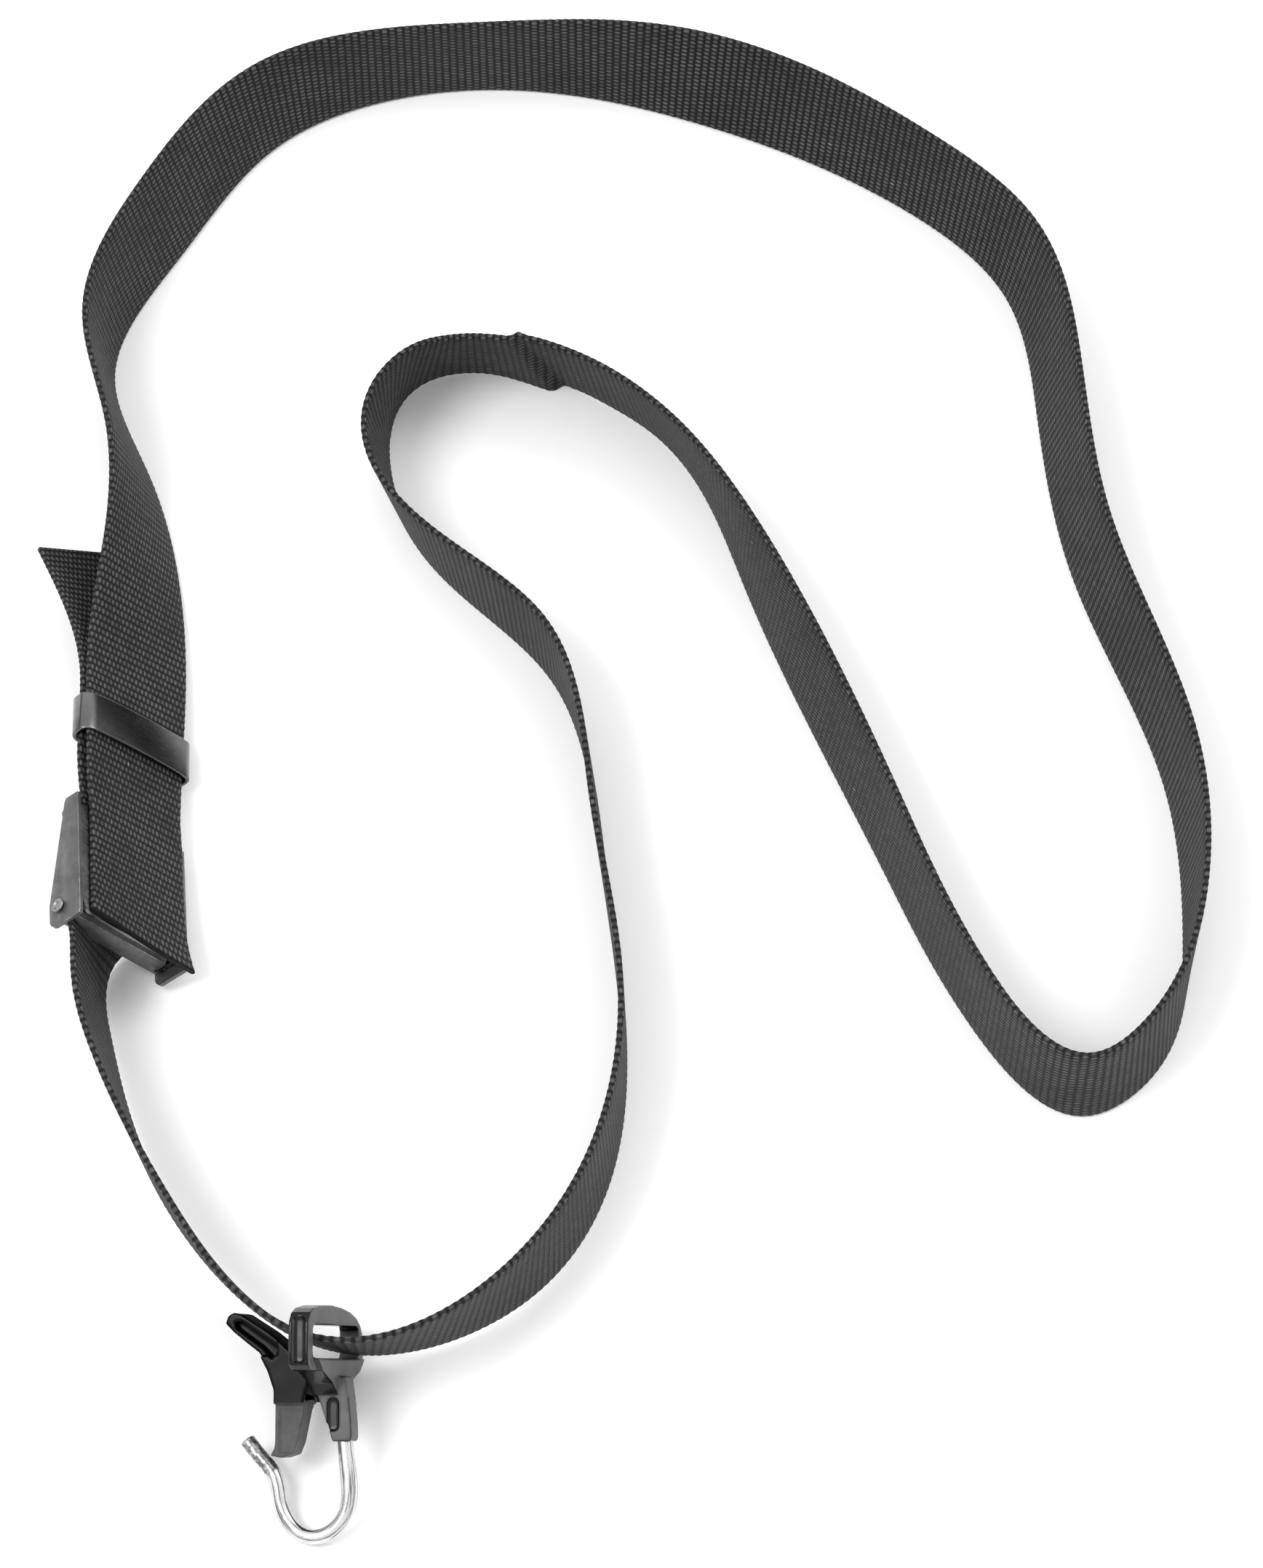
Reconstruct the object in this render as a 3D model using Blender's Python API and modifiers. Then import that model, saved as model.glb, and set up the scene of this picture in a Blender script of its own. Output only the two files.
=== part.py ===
"""Saxophone neck strap: webbing, sliding keeper, lever buckle and gated hook.

Lengths below are in millimetres and angles in degrees; make_object() turns
every mesh into metres.
"""
import math
import bpy
import bmesh
import numpy as np
from mathutils import Matrix, Vector

MM = 0.001
SIDES = 20              # facets of a round hole or rod
CUT = 30.0              # reach of a cutter past what it cuts

# point of the table that becomes the origin
MIDDLE = (-3.1, 6.4)

# webbing: width, thickness, and its way over the table from the end on the
# buckle round to the free tail, as x, y, lift of the lower edge, lean
WEB_W = 25.0
WEB_T = 1.1
WEB_STEP = 3.0
LEAN_SCALE = 0.25       # a degree of lean counts as this many mm in the curve
ROUTE = (
    (-94.6, -45, 8.8, 41.5), (-96.5, -25, 5.6, 40), (-98, 4, 3.5, 43.5),
    (-98.6, 24, 1.8, 45), (-98.8, 44, 0, 33), (-103, 72, 0, 15),
    (-110.2, 98, 0, 8.5), (-98.5, 131, 0, 15.5), (-78, 159.5, 0, 10),
    (-30, 173, 0, -4), (14, 167.5, 0, 12.5), (62, 141, 0, 8.5),
    (81, 120.3, 0, 11.2), (88, 87, 0, 15), (93, 48, 0, 11.5),
    (108, -1, 0, 7), (109, -37, 0, 3.5), (98.5, -65.5, 0, -4),
    (87.5, -73, 0, -1), (65.5, -52, 0, -2.5), (51.5, -20, 0, -6),
    (24.5, 45.5, 0, -3.5), (3, 81.5, 0, 14.5), (-20, 94, 0, 15),
    (-42.5, 93.5, 0, 15), (-52, 75.5, 0, -8), (-42.5, 50.5, 0, -10.5),
    (-17, 24.5, 0, -4), (-6.5, -18.5, 0, -4.5), (-1.7, -60, 0.1, -1.5),
    (-17.5, -110.5, 1.2, 0.5), (-56, -128, 4.2, 19), (-82, -105.5, 2.0, 8.5),
    (-99.5, -71, 1.1, 9), (-102.2, -56, 3.1, 16.5), (-97.8, -47, 6.0, 36.5),
    (-98.4, -28, 4.5, 40), (-99.5, -6, 2.4, 42), (-100, 16, 1.5, 45),
    (-109.5, 50, 0, 58),
)

# keeper: a flat loop round both layers, KEEPER_RUN from the webbing's end
KEEPER_RUN = 48.4
KEEPER_REACH = 5.0
KEEPER_SPAN = 27.8
KEEPER_GAP = 4.5
KEEPER_WALL = 0.9
KEEPER_LONG = 8.8
KEEPER_ROUND = 1.1
KEEPER_SHIFT = (1.1, 0.0)      # off the fixed layer: by its face, across

# buckle plate: depth from the middle of the fixed layer, run along it
BUCKLE_RUN = 16.4
BUCKLE_REACH = 9.0
PLATE_NEAR = 0.72
PLATE_T = 0.65
PLATE_HALF = 13.45
PLATE_LOW = -16.3
PLATE_HIGH = 10.0
PLATE_ROUND = 3.4
EAR_IN = 12.75
EAR_R = 1.9
EAR_FOOT = 6.0
PIVOT = (5.9, -12.4)

# lever: outlines are (depth, run) from its hinge line
LEVER_IN = 13.65
LEVER_OUT = 14.5
LEVER_TOP = 24.9
LEVER_SIDE = (
    (-4.8, -3.2), (-4.3, -4.0), (1.6, -4.0), (2.5, -3.3), (2.9, -2.4),
    (2.9, 1.5), (-1.7, LEVER_TOP - 0.8), (-2.1, LEVER_TOP), (-4.8, LEVER_TOP),
)
LEVER_HOLLOW = (
    (-9, -9), (9, -9), (9, -0.8), (2.2, -0.8), (2.2, 1.4),
    (-2.55, LEVER_TOP - 1.2), (-2.6, LEVER_TOP + 9), (-9, LEVER_TOP + 9),
)
CAM_HALF = 12.3
CAM = (
    (2.5, -0.8), (2.3, 2.4), (0.6, 2.0), (-1.2, 1.8), (-2.1, 1.4), (-1.7, 0.9),
    (-2.2, 0.5), (-1.8, 0.05), (-2.2, -0.25), (-1.7, -0.7), (-1.4, -1.2),
    (-0.5, -1.6), (0.6, -1.6),
)
BUCKLE_PIN_R = 0.8
BUCKLE_PIN_HALF = 15.3
BUCKLE_HOLE_R = 1.08
RIVET_R = 1.4
RIVET_T = 0.5

# hook body: u across, v along the shank towards the eye, l along the eye's slot
EYE_AT = (-56.0, -128.0, 16.7)
SLOT_DIR = (-0.24, -0.38, 0.89)
SHANK_DIR = (0.0, 0.92, 0.39)
EYE_RING = (                            # its outline, (v, l)
    (6.7, 2.0), (6.6, 9.0), (6.1, 13.5), (5.2, 15.8), (3.6, 17.0), (2.0, 17.2),
    (-2.4, 17.2), (-4.2, 16.8), (-5.2, 15.4), (-5.4, 13.0), (-5.4, -11.0),
    (-5.0, -14.2), (-3.9, -16.4), (-2.2, -17.2), (-0.4, -17.2), (1.6, -16.6),
    (3.3, -15.2), (4.6, -12.8), (5.6, -9.0), (6.3, -4.0),
)
EYE_SLOT = (3.0, 14.0, 1.3)             # half v, half length, corner
EYE_DEPTH = 3.8
BODY_WEB = ((-3.0, 14.5), (-5.4, 11.5), (-7.5, 5.5), (-10.0, 2.0), (-11.0, 1.4))
BODY_WEB_OUT = 1.2
NECK_HALF = 2.5
NECK = (
    (-0.9, -7.0), (4.4, -6.2), (5.0, -10.0), (5.4, -14.0), (5.6, -17.2),
    (5.3, -18.1), (1.9, -18.1), (1.5, -16.8), (0.2, -13.0), (-0.9, -9.8),
)
POCKET = (0.9, -16.2, 3.2, -10.2, 1.0)  # low u, low v, high u, high v, corner
POCKET_FLOOR = 1.95
LUG_R = 2.1
LUG_FOOT = (0.5, -3.4, 3.0)
LUG_SPAN = (-3.1, 1.2)
BODY_EDGE = 0.5

# hook wire: its line in (u, v)
WIRE_R = 1.4
WIRE_STEP = 1.4
SOCKET_R = 1.55
HOOK_LINE = (
    (3.4, -13.5), (3.5, -15.5), (3.7, -18.0), (4.2, -22.5), (4.6, -27.0),
    (4.1, -30.5), (2.1, -33.6), (-1.0, -35.3), (-4.4, -35.0), (-7.2, -32.5),
    (-8.6, -29.2), (-9.1, -26.4), (-10.2, -23.6), (-12.6, -20.8), (-15.1, -17.8),
)

# gate: its outline, (u, v) from its pin
GATE_PIVOT = (-4.7, -7.2)
GATE_HALF = 4.6
GATE_SIDE = (
    (-13.7, 10.6), (-13.2, 12.0), (-12.2, 12.6), (-10.6, 12.3), (-5.4, 9.1),
    (-2.2, 6.6), (0.6, 3.9), (2.4, 1.2), (2.5, -0.6), (2.0, -2.0), (1.3, -5.2),
    (0.1, -11.0), (-0.8, -13.2), (-3.0, -13.9), (-5.0, -13.5), (-4.3, -12.2),
    (-4.1, -10.8), (-4.1, -1.6), (-5.3, 1.8), (-7.1, 5.2), (-9.4, 6.9),
    (-12.1, 9.0),
)
FORK_HALF = 3.4
FORK_R = 2.6
FORK_BACK = ((20, 12), (20, -12), (1.0, -3.0), (-1.4, -2.8))
ARM_HALF = 2.6
ARM_AREA = ((-9, -4.2), (9, -4.2), (9, -19), (-9, -19))
TAB_HALF = 3.3
TAB_AREA = ((-3.4, 4.6), (-3.4, 20), (-30, 20), (-30, 4.6))
GATE_EDGE = 0.3
GATE_PIN_R = 0.8
GATE_PIN_HALF = 5.0
GATE_HOLE_R = 1.08

# gate spring: a coil round the pin
SPRING_R = 1.45
SPRING_WIRE = 0.2
SPRING_FOOT = 1.75
SPRING_RISE = 1.3
SPRING_TURNS = 2.5
SPRING_POINTS = 40

# name: colour, metallic, roughness
FINISHES = {
    "webbing_black": ((0.022, 0.022, 0.024), 0.0, 0.85),
    "keeper_black": ((0.03, 0.03, 0.032), 0.6, 0.35),
    "plate_steel": ((0.2, 0.2, 0.2), 1.0, 0.35),
    "lever_satin": ((0.1, 0.1, 0.105), 0.8, 0.4),
    "rivet_steel": ((0.3, 0.3, 0.3), 1.0, 0.3),
    "hook_plastic": ((0.03, 0.03, 0.032), 0.0, 0.25),
    "gate_plastic": ((0.028, 0.028, 0.03), 0.0, 0.3),
    "hook_nickel": ((0.8, 0.8, 0.8), 1.0, 0.12),
    "gate_pin_steel": ((0.5, 0.5, 0.5), 1.0, 0.3),
    "gate_spring_steel": ((0.45, 0.45, 0.45), 1.0, 0.3),
}


def clear_scene():
    for old in list(bpy.data.objects):
        bpy.data.objects.remove(old, do_unlink=True)


def collection(name):
    made = bpy.data.collections.new(name)
    bpy.context.scene.collection.children.link(made)
    return made


def finish(name):
    colour, metallic, roughness = FINISHES[name]
    made = bpy.data.materials.new(name)
    made.use_nodes = True
    shader = made.node_tree.nodes["Principled BSDF"]
    shader.inputs["Base Color"].default_value = (*colour, 1.0)
    shader.inputs["Metallic"].default_value = metallic
    shader.inputs["Roughness"].default_value = roughness
    return made


def smooth_line(points, step):
    """Even points on the natural cubic curve through the given ones."""
    knots = np.array(points, float)
    moves = np.diff(knots, axis=0)
    gaps = np.linalg.norm(moves, axis=1)
    system = np.eye(len(knots))
    turns = np.zeros_like(knots)
    for i in range(1, len(gaps)):
        before, after = gaps[i - 1], gaps[i]
        system[i, i - 1:i + 2] = (before, 2 * (before + after), after)
        turns[i] = 6 * (moves[i] / after - moves[i - 1] / before)
    bends = np.linalg.solve(system, turns)
    line = [Vector(knots[0])]
    for i, gap in enumerate(gaps):
        parts = max(1, round(gap / step))
        for k in range(1, parts + 1):
            b = k / parts
            a = 1 - b
            bow = (a ** 3 - a) * bends[i] + (b ** 3 - b) * bends[i + 1]
            line.append(Vector(a * knots[i] + b * knots[i + 1] + bow * gap ** 2 / 6))
    return line


def web_centre(x, y, lift, lean):
    high = lift + WEB_W / 2 * math.cos(lean) + WEB_T / 2 * abs(math.sin(lean))
    return Vector((x - MIDDLE[0], y - MIDDLE[1], high))


def web_rows():
    """Centres and width directions along the webbing."""
    knots = [(x, y, lift, lean * LEAN_SCALE) for x, y, lift, lean in ROUTE]
    line = smooth_line(knots, WEB_STEP)
    leans = [math.radians(p[3] / LEAN_SCALE) for p in line]
    centres = [web_centre(p[0], p[1], p[2], lean) for p, lean in zip(line, leans)]
    last = len(centres) - 1
    rows = []
    for i, (centre, lean) in enumerate(zip(centres, leans)):
        along = centres[min(i + 1, last)] - centres[max(i - 1, 0)]
        left = Vector((-along.y, along.x, 0)).normalized()
        wide = left * math.sin(lean) + Vector((0, 0, 1)) * math.cos(lean)
        rows.append((centre, square_to(wide, along.normalized())))
    return rows


def square_to(direction, other):
    return (direction - other * direction.dot(other)).normalized()


def web_spot(run):
    """Centre and width direction at a length from the webbing's first end."""
    rows = web_rows()
    for (here, wide), (after, _) in zip(rows, rows[1:]):
        gap = (after - here).length
        if run <= gap:
            return here.lerp(after, run / gap), wide
        run -= gap
    return rows[-1]


def web_axes(run, reach):
    """Centre, width, face and length directions of a nearly straight stretch."""
    centre, wide = web_spot(run)
    along = (web_spot(run + reach)[0] - web_spot(run - reach)[0]).normalized()
    wide = square_to(wide, along)
    return centre, wide, wide.cross(along), along


def place(centre, x_axis, y_axis, z_axis):
    frame = Matrix((x_axis, y_axis, z_axis)).transposed().to_4x4()
    frame.translation = centre * MM
    return frame


def keeper_frame():
    centre, wide, face, along = web_axes(KEEPER_RUN, KEEPER_REACH)
    middle = centre + face * KEEPER_SHIFT[0] + wide * KEEPER_SHIFT[1]
    return place(middle, wide, along.cross(wide), along)


def buckle_frame(depth=0.0, run=0.0):
    """x across the webbing, y away from it, z along it."""
    centre, _, face, along = web_axes(BUCKLE_RUN, BUCKLE_REACH)
    return place(centre + face * depth + along * run, face.cross(along), face, along)


def hook_frame(u=0.0, v=0.0):
    slot = Vector(SLOT_DIR).normalized()
    shank = square_to(Vector(SHANK_DIR), slot)
    across = shank.cross(slot)
    eye = Vector(EYE_AT) - Vector((*MIDDLE, 0))
    return place(eye + across * u + shank * v, across, shank, slot)


def make_object(name, bm, look, home, frame):
    bmesh.ops.scale(bm, vec=(MM, MM, MM), verts=bm.verts)
    bmesh.ops.recalc_face_normals(bm, faces=bm.faces)
    mesh = bpy.data.meshes.new(name)
    bm.to_mesh(mesh)
    bm.free()
    obj = bpy.data.objects.new(name, mesh)
    home.objects.link(obj)
    if look:
        mesh.materials.append(finish(look))
    obj.matrix_world = frame
    return obj


def prism(name, outline, span, axis, look, home, frame):
    """Extrude an outline along the local axis that it leaves out."""
    bm = bmesh.new()
    rings = []
    for level in span:
        spots = {"x": lambda a, b: (level, a, b), "y": lambda a, b: (a, level, b),
                 "z": lambda a, b: (a, b, level)}[axis]
        rings.append([bm.verts.new(spots(a, b)) for a, b in outline])
    low, high = rings
    for i in range(len(outline)):
        j = (i + 1) % len(outline)
        bm.faces.new((low[i], low[j], high[j], high[i]))
    bm.faces.new(low)
    bm.faces.new(list(reversed(high)))
    return make_object(name, bm, look, home, frame)


def arc(a, b, radius, start, end, count):
    angles = [math.radians(start + (end - start) * k / count) for k in range(count + 1)]
    return [(a + radius * math.cos(t), b + radius * math.sin(t)) for t in angles]


def circle(a, b, radius, sides=SIDES):
    return arc(a, b, radius, 0, 360 - 360 / sides, sides - 1)


def rounded_box(a0, b0, a1, b1, radius, count=4):
    corners = ((a1 - radius, b1 - radius), (a0 + radius, b1 - radius),
               (a0 + radius, b0 + radius), (a1 - radius, b0 + radius))
    line = []
    for k, (a, b) in enumerate(corners):
        line += arc(a, b, radius, 90 * k, 90 * k + 90, count)
    return line


def combine(target, kind, name, outline, span, axis, tools, frame):
    """Cut with, join or keep inside a hidden prism."""
    tool = prism(name, outline, span, axis, None, tools, frame)
    combine_with(target, kind, tool)


def combine_with(target, kind, tool):
    tool.hide_render = True
    tool.display_type = "WIRE"
    step = target.modifiers.new(tool.name, "BOOLEAN")
    step.operation = kind
    step.solver = "EXACT"
    step.object = tool


def bevel(target, width):
    soft = target.modifiers.new("bevel", "BEVEL")
    soft.width = width * MM
    soft.segments = 1
    soft.limit_method = "ANGLE"
    soft.angle_limit = math.radians(50)


def tube(name, points, radius, resolution, look, home, frame):
    data = bpy.data.curves.new(name, "CURVE")
    data.dimensions = "3D"
    data.bevel_depth = radius * MM
    data.bevel_resolution = resolution
    data.use_fill_caps = True
    line = data.splines.new("POLY")
    line.points.add(len(points) - 1)
    for spot, point in zip(line.points, points):
        spot.co = (*(Vector(point) * MM), 1.0)
    obj = bpy.data.objects.new(name, data)
    home.objects.link(obj)
    data.materials.append(finish(look))
    obj.matrix_world = frame
    return obj


def make_webbing(home):
    bm = bmesh.new()
    rows = []
    for centre, wide in web_rows():
        spots = [centre + wide * (side * WEB_W / 2) for side in (-1, 0, 1)]
        rows.append([bm.verts.new(spot) for spot in spots])
    for a, b in zip(rows, rows[1:]):
        for k in range(2):
            bm.faces.new((a[k], a[k + 1], b[k + 1], b[k]))
    obj = make_object("webbing", bm, "webbing_black", home, Matrix())
    thick = obj.modifiers.new("thickness", "SOLIDIFY")
    thick.thickness = WEB_T * MM
    thick.offset = 0.0


def make_keeper(home, tools):
    frame = keeper_frame()
    half = KEEPER_SPAN / 2
    gap = KEEPER_GAP / 2
    outside = rounded_box(-half, -gap - KEEPER_WALL, half, gap + KEEPER_WALL,
                          KEEPER_ROUND + KEEPER_WALL)
    inside = rounded_box(KEEPER_WALL - half, -gap, half - KEEPER_WALL, gap, KEEPER_ROUND)
    span = (-KEEPER_LONG / 2, KEEPER_LONG / 2)
    keeper = prism("keeper", outside, span, "z", "keeper_black", home, frame)
    combine(keeper, "DIFFERENCE", "keeper_hole", inside, (-CUT, CUT), "z", tools, frame)


def make_plate(home, tools):
    frame = buckle_frame()
    far = PLATE_NEAR + PLATE_T
    side = [(PLATE_NEAR, PLATE_LOW), (far, PLATE_LOW), (far, PIVOT[1] - EAR_R)]
    side += arc(*PIVOT, EAR_R, -90, 70, 8)
    side += [(far, PIVOT[1] + EAR_FOOT), (far, PLATE_HIGH), (PLATE_NEAR, PLATE_HIGH)]
    plate = prism("buckle_plate", side, (-PLATE_HALF, PLATE_HALF), "x", "plate_steel",
                  home, frame)
    channel = ((far, -CUT), (CUT, -CUT), (CUT, CUT), (far, CUT))
    combine(plate, "DIFFERENCE", "plate_channel", channel, (-EAR_IN, EAR_IN), "x", tools, frame)
    combine(plate, "DIFFERENCE", "plate_bore", circle(*PIVOT, BUCKLE_HOLE_R), (-CUT, CUT), "x",
            tools, frame)
    face = rounded_box(-PLATE_HALF, PLATE_LOW, PLATE_HALF, CUT, PLATE_ROUND)
    combine(plate, "INTERSECT", "plate_corners", face, (-CUT, CUT), "y", tools, frame)


def make_lever(home, tools):
    frame = buckle_frame(*PIVOT)
    lever = prism("buckle_lever", LEVER_SIDE, (-LEVER_OUT, LEVER_OUT), "x", "lever_satin",
                  home, frame)
    combine(lever, "DIFFERENCE", "lever_hollow", LEVER_HOLLOW, (-LEVER_IN, LEVER_IN), "x",
            tools, frame)
    combine(lever, "UNION", "lever_cam", CAM, (-CAM_HALF, CAM_HALF), "x", tools, frame)
    combine(lever, "DIFFERENCE", "lever_bore", circle(0, 0, BUCKLE_HOLE_R), (-CUT, CUT), "x",
            tools, frame)


def make_buckle_pin(home, tools):
    frame = buckle_frame(*PIVOT)
    half = BUCKLE_PIN_HALF
    pin = prism("buckle_pin", circle(0, 0, BUCKLE_PIN_R), (-half, half), "x", "rivet_steel",
                home, frame)
    for span in ((-half, RIVET_T - half), (half - RIVET_T, half)):
        combine(pin, "UNION", "pin_head", circle(0, 0, RIVET_R), span, "x", tools, frame)


def make_hook_body(home, tools):
    frame = hook_frame()
    flat = EYE_DEPTH / 2
    body = prism("hook_body", EYE_RING, (-flat, flat), "x", "hook_plastic", home, frame)
    web = list(BODY_WEB) + [(v, -l) for v, l in reversed(BODY_WEB)]
    combine(body, "UNION", "body_web", web, (-flat, flat + BODY_WEB_OUT), "x", tools, frame)
    combine(body, "UNION", "body_neck", NECK, (-NECK_HALF, NECK_HALF), "z", tools, frame)
    u, v = GATE_PIVOT
    foot, below, above = LUG_FOOT
    lug = arc(u, v, LUG_R, 90, 270, 8) + [(foot, v + below), (foot, v + above)]
    combine(body, "UNION", "body_lug", lug, LUG_SPAN, "z", tools, frame)
    tall, long, corner = EYE_SLOT
    slot = rounded_box(-tall, -long, tall, long, corner)
    combine(body, "DIFFERENCE", "eye_slot", slot, (-CUT, CUT), "x", tools, frame)
    combine_with(body, "DIFFERENCE", make_socket(tools, frame))
    combine(body, "DIFFERENCE", "gate_bore", circle(u, v, GATE_HOLE_R), (-CUT, CUT), "z",
            tools, frame)
    combine(body, "DIFFERENCE", "neck_pocket", rounded_box(*POCKET), (POCKET_FLOOR, CUT), "z",
            tools, frame)
    bevel(body, BODY_EDGE)


def make_socket(tools, frame):
    """The hole in the neck that the wire stands in, open at the bottom."""
    inner = Vector((*HOOK_LINE[0], 0))
    outer = Vector((*HOOK_LINE[2], 0))
    down = (outer - inner).normalized()
    start = inner - down * (SOCKET_R - WIRE_R)
    end = outer + down * WIRE_R * 2
    bm = bmesh.new()
    bmesh.ops.create_cone(bm, cap_ends=True, segments=SIDES, radius1=SOCKET_R,
                          radius2=SOCKET_R, depth=(end - start).length)
    turn = down.to_track_quat("Z", "Y").to_matrix().to_4x4()
    turn.translation = (start + end) / 2
    bmesh.ops.transform(bm, matrix=turn, verts=bm.verts)
    return make_object("wire_socket", bm, None, tools, frame)


def make_hook_wire(home):
    line = smooth_line([(u, v, 0.0) for u, v in HOOK_LINE], WIRE_STEP)
    tube("hook_wire", line, WIRE_R, 3, "hook_nickel", home, hook_frame())


def make_gate(home, tools):
    frame = hook_frame(*GATE_PIVOT)
    gate = prism("gate_lever", GATE_SIDE, (-GATE_HALF, GATE_HALF), "z", "gate_plastic",
                 home, frame)
    fork = arc(0, 0, FORK_R, 200, 90, 8) + list(FORK_BACK)
    combine(gate, "DIFFERENCE", "gate_fork", fork, (-FORK_HALF, FORK_HALF), "z", tools, frame)
    for name, area, half in (("gate_arm", ARM_AREA, ARM_HALF), ("gate_tab", TAB_AREA, TAB_HALF)):
        for span in ((-CUT, -half), (half, CUT)):
            combine(gate, "DIFFERENCE", name, area, span, "z", tools, frame)
    combine(gate, "DIFFERENCE", "gate_eye", circle(0, 0, GATE_HOLE_R), (-CUT, CUT), "z",
            tools, frame)
    bevel(gate, GATE_EDGE)


def make_gate_pin(home):
    prism("gate_pin", circle(0, 0, GATE_PIN_R), (-GATE_PIN_HALF, GATE_PIN_HALF), "z",
          "gate_pin_steel", home, hook_frame(*GATE_PIVOT))


def make_gate_spring(home):
    coil = []
    for k in range(SPRING_POINTS + 1):
        share = k / SPRING_POINTS
        turn = 2 * math.pi * SPRING_TURNS * share
        coil.append((SPRING_R * math.cos(turn), SPRING_R * math.sin(turn),
                     SPRING_FOOT + SPRING_RISE * share))
    tube("gate_spring", coil, SPRING_WIRE, 2, "gate_spring_steel", home,
         hook_frame(*GATE_PIVOT))


def build():
    clear_scene()
    home = collection("neck_strap")
    tools = collection("cutters")
    make_webbing(home)
    make_keeper(home, tools)
    make_plate(home, tools)
    make_lever(home, tools)
    make_buckle_pin(home, tools)
    make_hook_body(home, tools)
    make_hook_wire(home)
    make_gate(home, tools)
    make_gate_pin(home)
    make_gate_spring(home)


build()
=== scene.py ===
"""Saxophone neck strap on a pale table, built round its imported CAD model.

Lengths are in metres, apart from the keeper's, the buckle's and the hook's own
sizes and outlines, which are in mm.
"""
import math

import bmesh
import bpy
import numpy as np
from mathutils import Matrix, Vector


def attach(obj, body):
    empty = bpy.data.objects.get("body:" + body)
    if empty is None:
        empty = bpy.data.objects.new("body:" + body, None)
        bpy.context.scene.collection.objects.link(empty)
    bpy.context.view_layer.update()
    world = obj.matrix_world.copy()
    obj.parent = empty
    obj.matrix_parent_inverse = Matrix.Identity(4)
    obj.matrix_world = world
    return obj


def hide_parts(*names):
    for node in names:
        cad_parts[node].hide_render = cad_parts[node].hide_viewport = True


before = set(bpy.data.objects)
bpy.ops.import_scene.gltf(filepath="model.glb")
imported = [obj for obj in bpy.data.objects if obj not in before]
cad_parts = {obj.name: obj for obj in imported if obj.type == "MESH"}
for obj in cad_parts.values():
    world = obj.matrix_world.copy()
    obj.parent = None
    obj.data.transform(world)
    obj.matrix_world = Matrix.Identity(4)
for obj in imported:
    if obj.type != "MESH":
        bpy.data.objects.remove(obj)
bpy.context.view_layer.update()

MM = 0.001

# ---- where things are -------------------------------------------------------

# point of the table that becomes the origin
MIDDLE = (-0.0031, 0.0064)

# webbing: width, thickness, length, and its way over the table from the end on
# the buckle round to the free tail, as x, y, lift of the lower edge, lean
WEB_W = 0.025
WEB_T = 0.0011
WEB_STEP = 0.5 * MM
LEAN_SCALE = 0.25 * MM      # a degree of lean counts as this much in the curve
ROUTE = (
    (-0.0946, -0.045, 0.0088, 41.5), (-0.0965, -0.025, 0.0056, 40), (-0.098, 0.004, 0.0035, 43.5),
    (-0.0986, 0.024, 0.0018, 45), (-0.0988, 0.044, 0, 33), (-0.103, 0.072, 0, 15),
    (-0.1102, 0.098, 0, 8.5), (-0.0985, 0.131, 0, 15.5), (-0.078, 0.1595, 0, 10),
    (-0.03, 0.173, 0, -4), (0.014, 0.1675, 0, 12.5), (0.062, 0.141, 0, 8.5),
    (0.081, 0.1203, 0, 11.2), (0.088, 0.087, 0, 15), (0.093, 0.048, 0, 11.5),
    (0.108, -0.001, 0, 7), (0.109, -0.037, 0, 3.5), (0.0985, -0.0655, 0, -4),
    (0.0875, -0.073, 0, -1), (0.0655, -0.052, 0, -2.5), (0.0515, -0.02, 0, -6),
    (0.0245, 0.0455, 0, -3.5), (0.003, 0.0815, 0, 14.5), (-0.02, 0.094, 0, 15),
    (-0.0425, 0.0935, 0, 15), (-0.052, 0.0755, 0, -8), (-0.0425, 0.0505, 0, -10.5),
    (-0.017, 0.0245, 0, -4), (-0.0065, -0.0185, 0, -4.5), (-0.0017, -0.06, 0.0001, -1.5),
    (-0.0175, -0.1105, 0.0012, 0.5), (-0.056, -0.128, 0.0042, 19), (-0.082, -0.1055, 0.002, 8.5),
    (-0.0995, -0.071, 0.0011, 9), (-0.1022, -0.056, 0.0031, 16.5), (-0.0978, -0.047, 0.006, 36.5),
    (-0.0984, -0.028, 0.0045, 40), (-0.0995, -0.006, 0.0024, 42), (-0.1, 0.016, 0.0015, 45),
    (-0.1095, 0.05, 0, 58),
)

# where the cloth falls away from the cam, in place of the route's 35th and 36th points
FALL_FROM, FALL_TO = 34, 36
FALL = (
    (-0.1035, -0.056, 0.0005, 10), (-0.1042, -0.0435, 0.0008, 12),
    (-0.1008, -0.0345, 0.0038, 34),
)

# keeper and buckle: how far along the webbing, and the reach either way over
# which its direction is taken
KEEPER_RUN, KEEPER_REACH = 0.0484, 0.005
KEEPER_SHIFT = 0.0011       # off the fixed layer
BUCKLE_RUN, BUCKLE_REACH = 0.0164, 0.009

# hook: the middle of its eye, the way of the slot and roughly that of the shank
EYE = (-0.056, -0.128, 0.0167)
SLOT_WAY = (-0.24, -0.38, 0.89)
SHANK_WAY = (0, 0.92, 0.39)

VIEW_RISE = 60              # degrees above the table
VIEW_FAR = 1.0
VIEW_LENS = 115.2           # mm, for a sensor 36 mm high

SKY = ((0.10, 0.12), (0.24, 0.4), (0.40, 1.0))      # height, grey level
SKY_LOW, SKY_TOP = 0.16, 1.0
SKY_POWER = 1.2
LAMPS = (("key", (-0.9, -0.35, 1.5), 16.0), ("fill", (1.1, 0.5, 1.2), 8.0))
LAMP_SIZE = 0.8

FLOOR_HALF = 6.0
FLOOR_Z = -0.0002


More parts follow.
